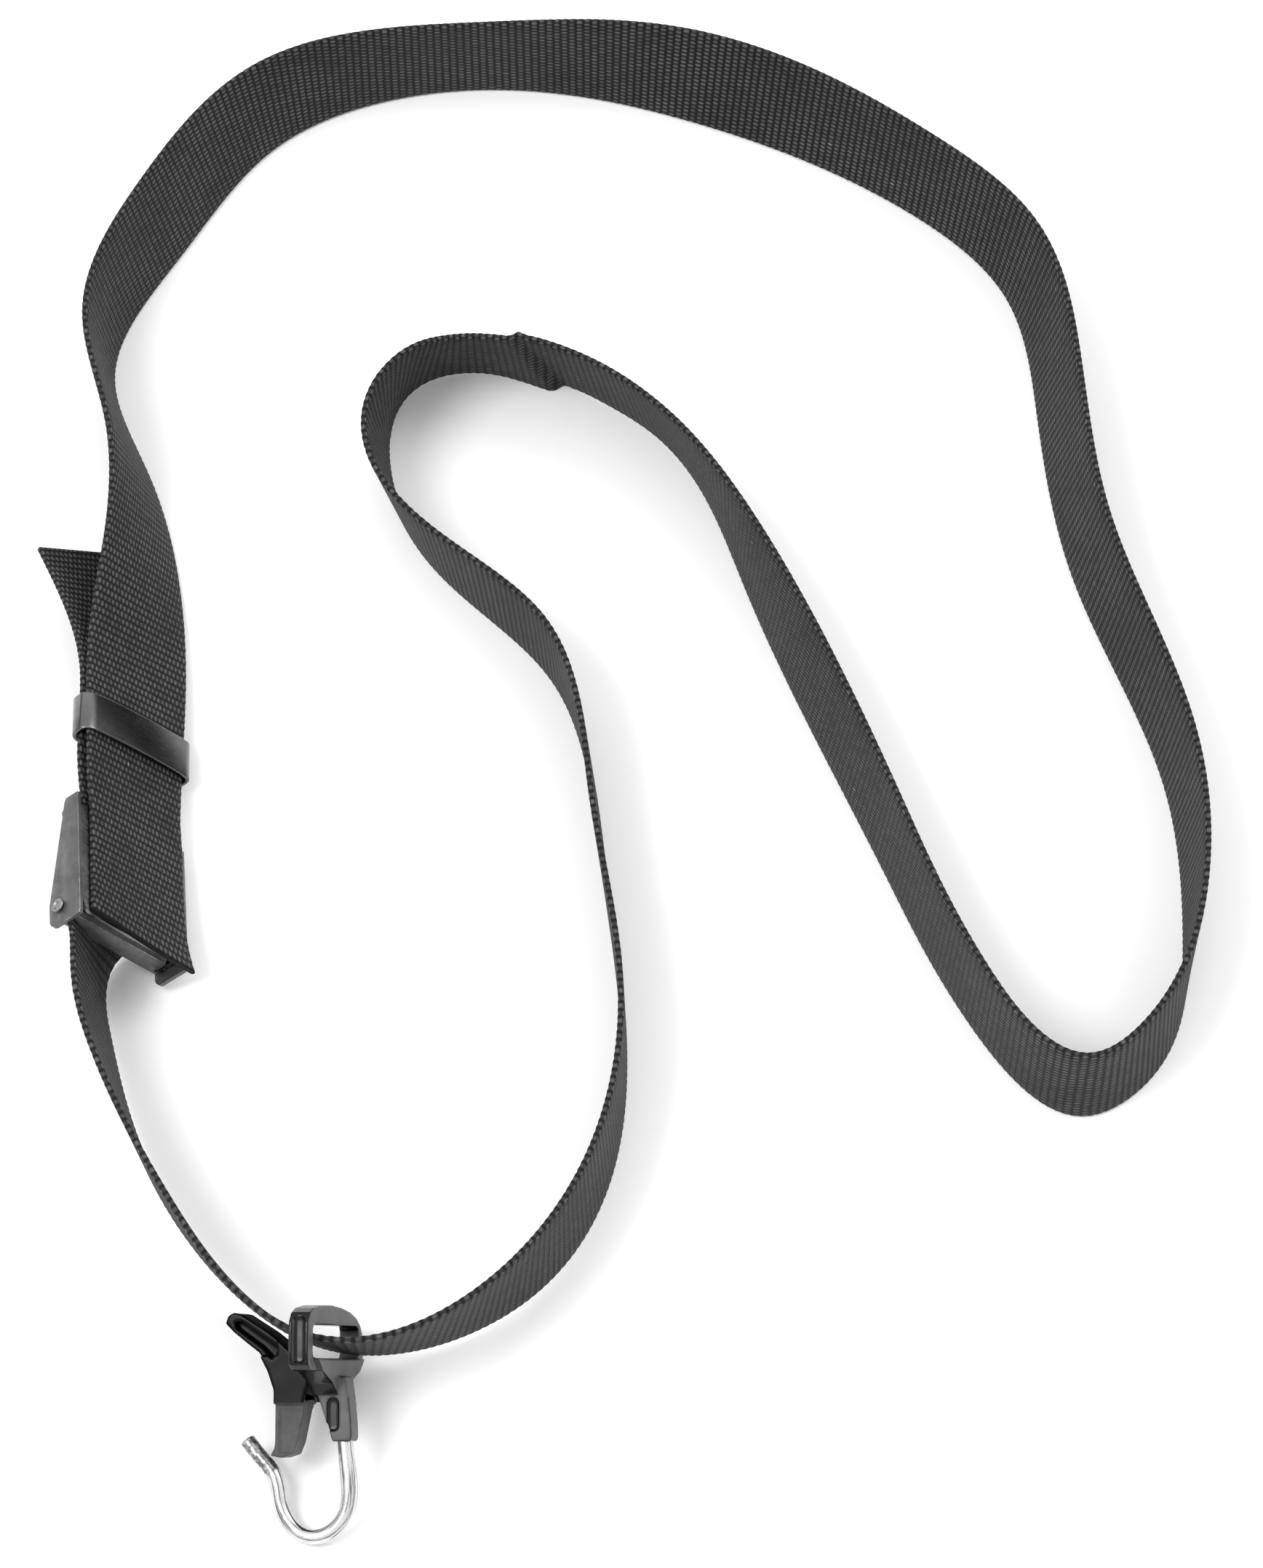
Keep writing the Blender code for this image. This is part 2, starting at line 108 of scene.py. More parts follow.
def smooth_line(points, step):
    """Even points on the natural cubic curve through the given ones."""
    knots = np.array(points, float)
    moves = np.diff(knots, axis=0)
    gaps = np.linalg.norm(moves, axis=1)
    system = np.eye(len(knots))
    turns = np.zeros_like(knots)
    for i in range(1, len(gaps)):
        before, after = gaps[i - 1], gaps[i]
        system[i, i - 1:i + 2] = (before, 2 * (before + after), after)
        turns[i] = 6 * (moves[i] / after - moves[i - 1] / before)
    bends = np.linalg.solve(system, turns)
    line = [knots[0]]
    for i, gap in enumerate(gaps):
        parts = max(1, round(gap / step))
        for k in range(1, parts + 1):
            b = k / parts
            a = 1 - b
            bow = (a ** 3 - a) * bends[i] + (b ** 3 - b) * bends[i + 1]
            line.append(a * knots[i] + b * knots[i + 1] + bow * gap ** 2 / 6)
    return np.array(line)


def unit(v):
    return v / np.linalg.norm(v, axis=-1, keepdims=True)


def web_curve():
    """Centres, width directions and lengths so far, half a millimetre apart."""
    route = ROUTE[:FALL_FROM] + FALL + ROUTE[FALL_TO:]
    knots = [(x, y, lift, lean * LEAN_SCALE) for x, y, lift, lean in route]
    line = smooth_line(knots, WEB_STEP)
    lean = np.radians(line[:, 3] / LEAN_SCALE)
    high = line[:, 2] + WEB_W / 2 * np.cos(lean) + WEB_T / 2 * np.abs(np.sin(lean))
    centre = np.stack([line[:, 0] - MIDDLE[0], line[:, 1] - MIDDLE[1], high], 1)
    along = unit(np.gradient(centre, axis=0))
    left = unit(np.stack([-along[:, 1], along[:, 0], 0 * along[:, 0]], 1))
    wide = left * np.sin(lean)[:, None] + np.array([0, 0, 1.0]) * np.cos(lean)[:, None]
    wide = unit(wide - along * (wide * along).sum(1)[:, None])
    run = np.concatenate([[0], np.cumsum(np.linalg.norm(np.diff(centre, axis=0), axis=1))])
    return centre, wide, run


CENTRE, WIDE, RUN = web_curve()


def web_at(run):
    """Centres and width directions at lengths along the webbing."""
    centre = np.stack([np.interp(run, RUN, CENTRE[:, k]) for k in range(3)], -1)
    wide = np.stack([np.interp(run, RUN, WIDE[:, k]) for k in range(3)], -1)
    return centre, unit(wide)


def place(origin, x_axis, y_axis, z_axis):
    """The matrix that puts a piece's own axes where they belong."""
    m = Matrix((Vector(x_axis), Vector(y_axis), Vector(z_axis))).transposed().to_4x4()
    m.translation = Vector(origin)
    return m


def web_axes(run, reach):
    """Centre of the webbing at a length along it, and its three directions."""
    centre, wide = web_at(run)
    along = unit(web_at(run + reach)[0] - web_at(run - reach)[0])
    wide = unit(wide - along * (wide @ along))
    return centre, wide, np.cross(wide, along), along


def keeper_frame():
    centre, wide, face, along = web_axes(KEEPER_RUN, KEEPER_REACH)
    return place(centre + face * KEEPER_SHIFT, wide, np.cross(along, wide), along)


def buckle_frame(depth=0.0, run=0.0):
    """Axes across, away from and along the fixed layer, moved by mm."""
    centre, _, face, along = web_axes(BUCKLE_RUN, BUCKLE_REACH)
    spot = centre + (face * depth + along * run) * MM
    return place(spot, np.cross(face, along), face, along)


def hook_frame(u=0.0, v=0.0):
    """Axes across the hook, up its shank and along the eye's slot, moved by mm."""
    slot = Vector(SLOT_WAY).normalized()
    shank = Vector(SHANK_WAY)
    shank = (shank - slot * shank.dot(slot)).normalized()
    across = shank.cross(slot)
    eye = Vector((EYE[0] - MIDDLE[0], EYE[1] - MIDDLE[1], EYE[2]))
    return place(eye + (across * u + shank * v) * MM, across, shank, slot)


# ---- camera, light and table ------------------------------------------------

def add(obj):
    """Put an object in the scene."""
    bpy.context.scene.collection.objects.link(obj)
    return obj


def make_camera():
    data = bpy.data.cameras.new("camera")
    data.sensor_fit = "VERTICAL"
    data.sensor_height = 36.0
    data.lens = VIEW_LENS
    cam = add(bpy.data.objects.new("camera", data))
    target = Vector((-MIDDLE[0], -MIDDLE[1], 0.0))
    rise = math.radians(VIEW_RISE)
    cam.location = target + VIEW_FAR * Vector((0, -math.cos(rise), math.sin(rise)))
    cam.rotation_euler = (target - cam.location).to_track_quat("-Z", "Y").to_euler()
    bpy.context.scene.camera = cam


def area_light(name, spot, power):
    """A round soft light that faces the origin."""
    data = bpy.data.lights.new(name, "AREA")
    data.shape = "DISK"
    data.size = LAMP_SIZE
    data.energy = power
    lamp = add(bpy.data.objects.new(name, data))
    lamp.location = spot
    lamp.rotation_euler = (-Vector(spot)).to_track_quat("-Z", "Y").to_euler()


def make_light():
    """A pale sky that darkens towards the horizon, and two soft lamps."""
    world = bpy.data.worlds.new("studio")
    bpy.context.scene.world = world
    world.use_nodes = True
    nt = world.node_tree
    nt.nodes.clear()
    out = nt.nodes.new("ShaderNodeOutputWorld")
    back = nt.nodes.new("ShaderNodeBackground")
    coords = nt.nodes.new("ShaderNodeTexCoord")
    split = nt.nodes.new("ShaderNodeSeparateXYZ")
    ramp = nt.nodes.new("ShaderNodeValToRGB")
    nt.links.new(coords.outputs["Generated"], split.inputs[0])
    nt.links.new(split.outputs["Z"], ramp.inputs[0])
    stops = ramp.color_ramp.elements
    stops[0].color = (SKY_LOW, SKY_LOW, SKY_LOW, 1)
    stops[1].color = (SKY_TOP, SKY_TOP, SKY_TOP, 1)
    for height, level in SKY:
        stops.new(height).color = (level, level, level, 1)
    nt.links.new(ramp.outputs["Color"], back.inputs["Color"])
    back.inputs["Strength"].default_value = SKY_POWER
    nt.links.new(back.outputs[0], out.inputs[0])
    for name, spot, power in LAMPS:
        area_light(name, spot, power)


def make_floor():
    mesh = bpy.data.meshes.new("floor")
    r = FLOOR_HALF
    corners = [(x, y, FLOOR_Z) for x, y in ((-r, -r), (r, -r), (r, r), (-r, r))]
    mesh.from_pydata(corners, [], [(0, 1, 2, 3)])
    floor = add(bpy.data.objects.new("floor", mesh))
    mat, shader, _ = new_material("floor_white")
    shader.inputs["Base Color"].default_value = (0.93, 0.93, 0.93, 1)
    shader.inputs["Roughness"].default_value = 0.9
    shader.inputs["Specular IOR Level"].default_value = 0.1
    mesh.materials.append(mat)


# ---- node helpers -----------------------------------------------------------

def new_material(name):
    mat = bpy.data.materials.new(name)
    mat.use_nodes = True
    nt = mat.node_tree
    return mat, nt.nodes["Principled BSDF"], nt


class Nodes:
    """Short words for building one material's nodes."""

    def __init__(self, nt):
        self.nt = nt

    def put(self, kind, **props):
        node = self.nt.nodes.new(kind)
        for name, value in props.items():
            setattr(node, name, value)
        return node

    def join(self, source, socket):
        if isinstance(source, (int, float, tuple)):
            socket.default_value = source
        else:
            self.nt.links.new(source, socket)

    def math(self, op, a, b=0.0, c=0.0, clamp=False):
        node = self.put("ShaderNodeMath", operation=op, use_clamp=clamp)
        for socket, value in zip(node.inputs, (a, b, c)):
            self.join(value, socket)
        return node.outputs[0]

    def ramp(self, value, low, high, to_low=0.0, to_high=1.0, smooth=True):
        node = self.put("ShaderNodeMapRange", clamp=True)
        node.interpolation_type = "SMOOTHSTEP" if smooth else "LINEAR"
        for name, x in (("Value", value), ("From Min", low), ("From Max", high),
                        ("To Min", to_low), ("To Max", to_high)):
            self.join(x, node.inputs[name])
        return node.outputs["Result"]

    def noise(self, vector, scale, detail, rough):
        node = self.put("ShaderNodeTexNoise")
        self.join(vector, node.inputs["Vector"])
        node.inputs["Scale"].default_value = scale
        node.inputs["Detail"].default_value = detail
        node.inputs["Roughness"].default_value = rough
        return node.outputs["Fac"]

    def mix(self, share, a, b):
        node = self.put("ShaderNodeMix", data_type="RGBA")
        self.join(share, node.inputs["Factor"])
        for name, value in (("A", a), ("B", b)):
            socket = [s for s in node.inputs if s.name == name and s.type == "RGBA"][0]
            self.join((*value, 1.0) if isinstance(value, tuple) else value, socket)
        return [s for s in node.outputs if s.type == "RGBA"][0]

    def vec(self, x, y):
        node = self.put("ShaderNodeCombineXYZ")
        for socket, value in zip(node.inputs, (x, y)):
            self.join(value, socket)
        return node.outputs[0]

    def bump(self, height, distance, strength):
        node = self.put("ShaderNodeBump")
        self.join(height, node.inputs["Height"])
        node.inputs["Distance"].default_value = distance
        node.inputs["Strength"].default_value = strength
        return node.outputs[0]

    def object_coords(self):
        return self.put("ShaderNodeTexCoord").outputs["Object"]


# ---- mesh helpers -----------------------------------------------------------

CIRCLE_SIDES = 40
SHARP_ANGLE = 40            # degrees; sharper edges stay crisp
FAR_OUT = 60                # reach of a cutter past what it cuts


def mesh_object(name, verts, faces):
    mesh = bpy.data.meshes.new(name)
    mesh.from_pydata([tuple(v) for v in verts], [], faces)
    mesh.validate()
    mesh.shade_smooth()
    return add(bpy.data.objects.new(name, mesh))


def ring_faces(rows, size):
    """Sides and two end caps of a bar made of rows of size points each."""
    faces = []
    for start in range(0, (rows - 1) * size, size):
        for k in range(size):
            j = (k + 1) % size
            faces.append((start + k, start + j, start + size + j, start + size + k))
    faces.append(tuple(reversed(range(size))))
    faces.append(tuple(range((rows - 1) * size, rows * size)))
    return faces


def arc(a, b, radius, start, end, count):
    angles = [math.radians(start + (end - start) * k / count) for k in range(count + 1)]
    return [(a + radius * math.cos(t), b + radius * math.sin(t)) for t in angles]


def circle(a, b, radius):
    return arc(a, b, radius, 0, 360 - 360 / CIRCLE_SIDES, CIRCLE_SIDES - 1)


def prism(name, outline, span, axis, frame_at):
    """A solid from an outline in mm, extruded along the local axis it leaves out."""
    bm = bmesh.new()
    rings = []
    for level in span:
        ring = []
        for corner in outline:
            spot = list(corner)
            spot.insert("xyz".index(axis), level)
            ring.append(bm.verts.new(Vector(spot) * MM))
        rings.append(ring)
    low, high = rings
    for i in range(len(outline)):
        j = (i + 1) % len(outline)
        bm.faces.new((low[i], low[j], high[j], high[i]))
    bm.faces.new(low)
    bm.faces.new(list(reversed(high)))
    bmesh.ops.recalc_face_normals(bm, faces=bm.faces)
    mesh = bpy.data.meshes.new(name)
    bm.to_mesh(mesh)
    bm.free()
    obj = add(bpy.data.objects.new(name, mesh))
    obj.matrix_world = frame_at
    return obj


def tube(name, points, radius, frame_at, sides, uv=False):
    """A round bar along points in mm, with flat ends and one radius or many."""
    pts = np.array(points, float)
    if pts.shape[1] == 2:
        pts = np.concatenate([pts, np.zeros((len(pts), 1))], 1)
    radii = np.full(len(pts), radius, float) if np.isscalar(radius) else np.array(radius, float)
    along = unit(np.gradient(pts, axis=0))
    side = np.cross(along[0], (0, 0, 1.0))
    if np.linalg.norm(side) < 0.1:
        side = np.cross(along[0], (1.0, 0, 0))
    side = unit(side)
    verts = []
    turns = np.linspace(0, 2 * math.pi, sides, endpoint=False)
    for p, t, r in zip(pts, along, radii):
        side = unit(side - t * (side @ t))
        up = np.cross(t, side)
        verts += [p + r * (math.cos(a) * side + math.sin(a) * up) for a in turns]
    obj = mesh_object(name, np.array(verts) * MM, ring_faces(len(pts), sides))
    if uv:
        mesh = obj.data
        run = np.concatenate([[0], np.cumsum(np.linalg.norm(np.diff(pts, axis=0), axis=1))]) * MM
        layer = mesh.uv_layers.new(name="weave")
        for loop in mesh.loops:
            row, k = divmod(loop.vertex_index, sides)
            layer.data[loop.index].uv = (run[row], abs(k / sides - 0.5) * 2)
    face_out(obj)
    obj.matrix_world = frame_at
    return obj


def fix(obj):
    """Turn an object's modifiers into its mesh."""
    bpy.context.view_layer.update()
    deps = bpy.context.evaluated_depsgraph_get()
    mesh = bpy.data.meshes.new_from_object(obj.evaluated_get(deps))
    obj.modifiers.clear()
    obj.data = mesh


def combine(target, kind, tool):
    """Cut one solid out of another, or add or intersect it, and use it up."""
    step = target.modifiers.new(kind, "BOOLEAN")
    step.operation = kind
    step.solver = "EXACT"
    step.object = tool
    fix(target)
    bpy.data.objects.remove(tool, do_unlink=True)


def cut(target, outline, span, axis, kind="DIFFERENCE"):
    combine(target, kind, prism("tool", outline, span, axis, target.matrix_world.copy()))


def bevel(obj, width, angle, slot=-1):
    """Round the edges sharper than an angle; slot is the material they take."""
    step = obj.modifiers.new("bevel", "BEVEL")
    step.width = width * MM
    step.segments = 3
    step.limit_method = "ANGLE"
    step.angle_limit = math.radians(angle)
    step.material = slot
    fix(obj)


def melt(obj, voxel, rounds):
    """Rebuild a solid on an even grid and soften it, as a moulding is soft."""
    grid = obj.modifiers.new("grid", "REMESH")
    grid.mode = "VOXEL"
    grid.voxel_size = voxel * MM
    soft = obj.modifiers.new("soft", "SMOOTH")
    soft.factor = 0.5
    soft.iterations = rounds
    fix(obj)
    obj.data.shade_smooth()


def dress(obj, *materials):
    obj.data.materials.clear()
    for mat in materials:
        obj.data.materials.append(mat)


def finish_piece(obj, body, node):
    """Ride on a body in place of a CAD node."""
    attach(obj, body)
    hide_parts(node)


def face_out(obj):
    """Turn every face outwards."""
    bm = bmesh.new()
    bm.from_mesh(obj.data)
    bmesh.ops.recalc_face_normals(bm, faces=bm.faces)
    bm.to_mesh(obj.data)
    bm.free()


def smooth_by_angle(obj):
    obj.data.shade_smooth()
    obj.data.set_sharp_from_angle(angle=math.radians(SHARP_ANGLE))


# ---- hardware materials -----------------------------------------------------

def enamel_material():
    """Black stoved enamel, rubbed thin where the webbing and fingers rub it."""
    mat, shader, nt = new_material("keeper_enamel")
    n = Nodes(nt)
    spot = n.object_coords()
    fine = n.noise(spot, 1800, 3, 0.6)
    broad = n.noise(spot, 130, 3, 0.6)
    streak = n.put("ShaderNodeMapping")
    n.join(spot, streak.inputs["Vector"])
    streak.inputs["Scale"].default_value = (1, 1, 14)
    brushed = n.noise(streak.outputs[0], 420, 2, 0.5)
    n.join(n.mix(n.ramp(broad, 0.35, 0.75), (0.10, 0.10, 0.102), (0.16, 0.16, 0.163)),
           shader.inputs["Base Color"])
    n.join(n.ramp(brushed, 0.2, 0.8, 0.2, 0.27), shader.inputs["Roughness"])
    shader.inputs["Metallic"].default_value = 1.0
    shader.inputs["Coat Weight"].default_value = 0.3
    shader.inputs["Coat Roughness"].default_value = 0.16
    height = n.math("ADD", n.math("MULTIPLY", fine, 0.2), n.math("MULTIPLY", broad, 1.5))
    n.join(n.bump(height, 0.000006, 0.5), shader.inputs["Normal"])
    return mat


def steel_material(name, colour, rough):
    mat, shader, nt = new_material(name)
    n = Nodes(nt)
    spot = n.object_coords()
    stretch = n.put("ShaderNodeMapping")
    n.join(spot, stretch.inputs["Vector"])
    stretch.inputs["Scale"].default_value = (0.12, 1, 1)
    lines = n.noise(stretch.outputs[0], 5200, 3, 0.7)
    stain = n.noise(spot, 300, 4, 0.6)
    dark = tuple(0.62 * c for c in colour)
    n.join(n.mix(n.ramp(stain, 0.3, 0.75), colour, dark), shader.inputs["Base Color"])
    n.join(n.ramp(lines, 0.2, 0.8, rough - 0.08, rough + 0.14), shader.inputs["Roughness"])
    shader.inputs["Metallic"].default_value = 1.0
    n.join(n.bump(lines, 0.00002, 0.6), shader.inputs["Normal"])
    return mat


def satin_material():
    """Grey satin plating with a fine orange peel."""
    mat, shader, nt = new_material("lever_satin")
    n = Nodes(nt)
    spot = n.object_coords()
    peel = n.noise(spot, 2400, 3, 0.6)
    cloud = n.noise(spot, 240, 4, 0.6)
    scratch = n.put("ShaderNodeMapping")
    n.join(spot, scratch.inputs["Vector"])
    scratch.inputs["Rotation"].default_value = (0.3, 0.5, 0.9)
    scratch.inputs["Scale"].default_value = (0.05, 1, 1)
    marks = n.math("GREATER_THAN", n.noise(scratch.outputs[0], 3000, 2, 0.5), 0.72)
    colour = n.mix(n.ramp(cloud, 0.3, 0.7), (0.11, 0.11, 0.112), (0.165, 0.165, 0.168))
    n.join(n.mix(n.math("MULTIPLY", marks, 0.5), colour, (0.3, 0.3, 0.3)),
           shader.inputs["Base Color"])
    n.join(n.ramp(peel, 0.2, 0.8, 0.38, 0.52), shader.inputs["Roughness"])
    shader.inputs["Metallic"].default_value = 0.75
    n.join(n.bump(peel, 0.00003, 0.7), shader.inputs["Normal"])
    return mat


def rim_material():
    """The bevelled edges, painted brighter in patches as a rim highlight."""
    mat, shader, nt = new_material("lever_rim")
    n = Nodes(nt)
    rim_light_patches = n.noise(n.object_coords(), 700, 4, 0.65)
    # painted rim highlight: the edges' colour is lifted towards bright metal in patches
    n.join(n.mix(n.ramp(rim_light_patches, 0.35, 0.65), (0.14, 0.14, 0.14), (0.5, 0.5, 0.5)),
           shader.inputs["Base Color"])
    n.join(n.ramp(rim_light_patches, 0.3, 0.7, 0.28, 0.42), shader.inputs["Roughness"])
    shader.inputs["Metallic"].default_value = 0.9
    return mat


def plastic_material(name, polish_and_shade_at, specular):
    """Black moulding, satin from use apart from the parts that stay polished; the polished parts
    are also painted near-black as painted shade and painted dark reflection.

    polish_and_shade_at makes the mask from the nodes, the place in mm and the facing.
    """
    mat, shader, nt = new_material(name)
    n = Nodes(nt)
    coords = n.put("ShaderNodeTexCoord")
    spot = coords.outputs["Object"]
    place_mm = n.put("ShaderNodeSeparateXYZ")
    facing = n.put("ShaderNodeSeparateXYZ")
    scaled = n.put("ShaderNodeVectorMath", operation="SCALE")
    n.join(spot, scaled.inputs[0])
    scaled.inputs["Scale"].default_value = 1000.0
    n.join(scaled.outputs[0], place_mm.inputs[0])
    n.join(coords.outputs["Normal"], facing.inputs[0])
    polish_and_shade = polish_and_shade_at(n, place_mm.outputs, facing.outputs)
    ripple = n.noise(spot, 150, 1, 0.4)
    grain = n.noise(spot, 3200, 3, 0.65)
    haze = n.noise(spot, 260, 4, 0.6)
    satin = n.mix(n.ramp(haze, 0.3, 0.7), (0.065, 0.065, 0.066), (0.09, 0.09, 0.091))
    # polished parts take a near-black colour: painted shade in the recesses and underneath,
    # painted dark reflection on the tab
    n.join(n.mix(polish_and_shade, satin, (0.004, 0.004, 0.0045)), shader.inputs["Base Color"])
    dull = n.ramp(grain, 0.2, 0.8, 0.32, 0.46)
    gloss = n.ramp(haze, 0.3, 0.7, 0.14, 0.22)
    n.join(n.math("ADD", n.math("MULTIPLY", gloss, polish_and_shade),
                  n.math("MULTIPLY", dull, n.math("SUBTRACT", 1.0, polish_and_shade))),
           shader.inputs["Roughness"])
    shader.inputs["Specular IOR Level"].default_value = specular
    height = n.math("ADD", n.math("MULTIPLY", ripple, 3.0),
                    n.math("MULTIPLY", grain, n.math("SUBTRACT", 1.0, polish_and_shade)))
    n.join(n.bump(height, 0.00003, 0.6), shader.inputs["Normal"])
    return mat


def hook_polish_and_shade(n, spot, facing):
    """The near end wall, the pocket and what faces down the shank stay polished, and are painted
    near-black as shade.
    """
    end = n.ramp(spot["Z"], 11.5, 14.5)
    side = n.ramp(n.math("ABSOLUTE", facing["X"]), 0.75, 0.9, 1.0, 0.0)
    under = n.ramp(facing["Y"], -0.2, -0.6)
    pocket = n.math("MULTIPLY", n.ramp(spot["Y"], -9.6, -10.4), n.ramp(spot["Z"], 2.42, 2.25))
    return n.math("MAXIMUM", n.math("MAXIMUM", n.math("MULTIPLY", end, side), under),
                  n.math("MULTIPLY", pocket, n.ramp(spot["Z"], 1.2, 1.6)))


def gate_polish_and_shade(n, spot, facing):
    """The thumb tab and the shoulders are polished and painted near-black as shade and dark
    reflection; the arm's grip is satin.
    """
    return n.ramp(spot["Y"], -4.6, -3.4)


def wire_material():
    """Bright nickel plating with drawing lines along the wire; the dark lines in its colour are
    painted reflections of dark surroundings.
    """
    mat, shader, nt = new_material("wire_nickel")
    n = Nodes(nt)
    split = n.put("ShaderNodeSeparateXYZ")
    n.join(n.put("ShaderNodeUVMap", uv_map="weave").outputs[0], split.inputs[0])
    run, turn = split.outputs["X"], split.outputs["Y"]
    lines = n.noise(n.vec(n.math("MULTIPLY", run, 12), turn), 9, 3, 0.6)
    fine = n.noise(n.vec(n.math("MULTIPLY", run, 40), turn), 60, 3, 0.6)
    pits = n.noise(n.object_coords(), 1500, 4, 0.6)
    # dark lines along the wire, in two sizes, are painted reflections of dark surroundings
    dark_reflection_line = n.ramp(lines, 0.5, 0.62)
    colour = n.mix(dark_reflection_line, (0.66, 0.66, 0.655), (0.2, 0.2, 0.2))
    colour = n.mix(n.ramp(fine, 0.56, 0.7), colour, (0.3, 0.3, 0.3))
    tip = n.ramp(run, WIRE_LONG - TIP_SCUFF[0], WIRE_LONG - TIP_SCUFF[1])
    scuffed = n.math("MULTIPLY", tip, n.ramp(pits, 0.35, 0.6))
    n.join(n.mix(scuffed, colour, (0.16, 0.16, 0.16)), shader.inputs["Base Color"])
    n.join(n.math("ADD", n.ramp(lines, 0.3, 0.7, 0.12, 0.25), n.math("MULTIPLY", tip, 0.2)),
           shader.inputs["Roughness"])
    shader.inputs["Metallic"].default_value = 1.0
    n.join(n.bump(n.math("ADD", n.math("MULTIPLY", lines, -1.0), n.math("MULTIPLY", pits, 0.3)),
                  0.00008, 0.7), shader.inputs["Normal"])
    return mat


def cut_material():
    mat, shader, nt = new_material("wire_cut")
    n = Nodes(nt)
    rough = n.noise(n.object_coords(), 2200, 4, 0.7)
    n.join(n.mix(rough, (0.16, 0.155, 0.15), (0.5, 0.49, 0.48)), shader.inputs["Base Color"])
    n.join(n.ramp(rough, 0.2, 0.8, 0.4, 0.6), shader.inputs["Roughness"])
    shader.inputs["Metallic"].default_value = 0.9
    n.join(n.bump(rough, 0.0002, 0.8), shader.inputs["Normal"])
    return mat


# ---- webbing ----------------------------------------------------------------

RIB = 0.0016                # pitch of the ribs along the webbing
DASH = 0.00105              # pitch of the warp floats across it
YARN = 0.00063              # pitch of the fine yarns between them
PLY, PLY_TURN = 0.00026, 0.0012
HEM = (0.0113, 0.0119)      # from the middle, where the rolled selvedge begins
RIB_ROWS = (-0.06, 0.0, 0.035, 0.035, 0.0)      # relief of one rib, mm
RIB_SIDE = 0.00004          # how far a rib's end stands out at the edge

CREASE_RUN = 0.8059         # where the diagonal fold crosses the middle
CREASE_DEPTH = 0.0011
CREASE_SLANT = 0.3          # how far along it runs for each length across
CREASE_SHARP, CREASE_REACH, CREASE_PINCH = 0.0008, 0.009, 0.0011
DIP_AT, DIP_REACH = 0.004, 0.006                # the low edge drops just past it

# the fixed end sits to the low side of the plate, flares at its low corner and
# is cut askew
END_SHIFT, END_SHIFT_FROM, END_SHIFT_OVER = 0.0007, 0.034, 0.008
FLARE_RUN = 0.010
FLARE_ACROSS, FLARE_THROUGH, FLARE_ALONG = 0.0009, 0.0008, 0.0004
SKEW, SKEW_RUN = 0.0016, 0.014


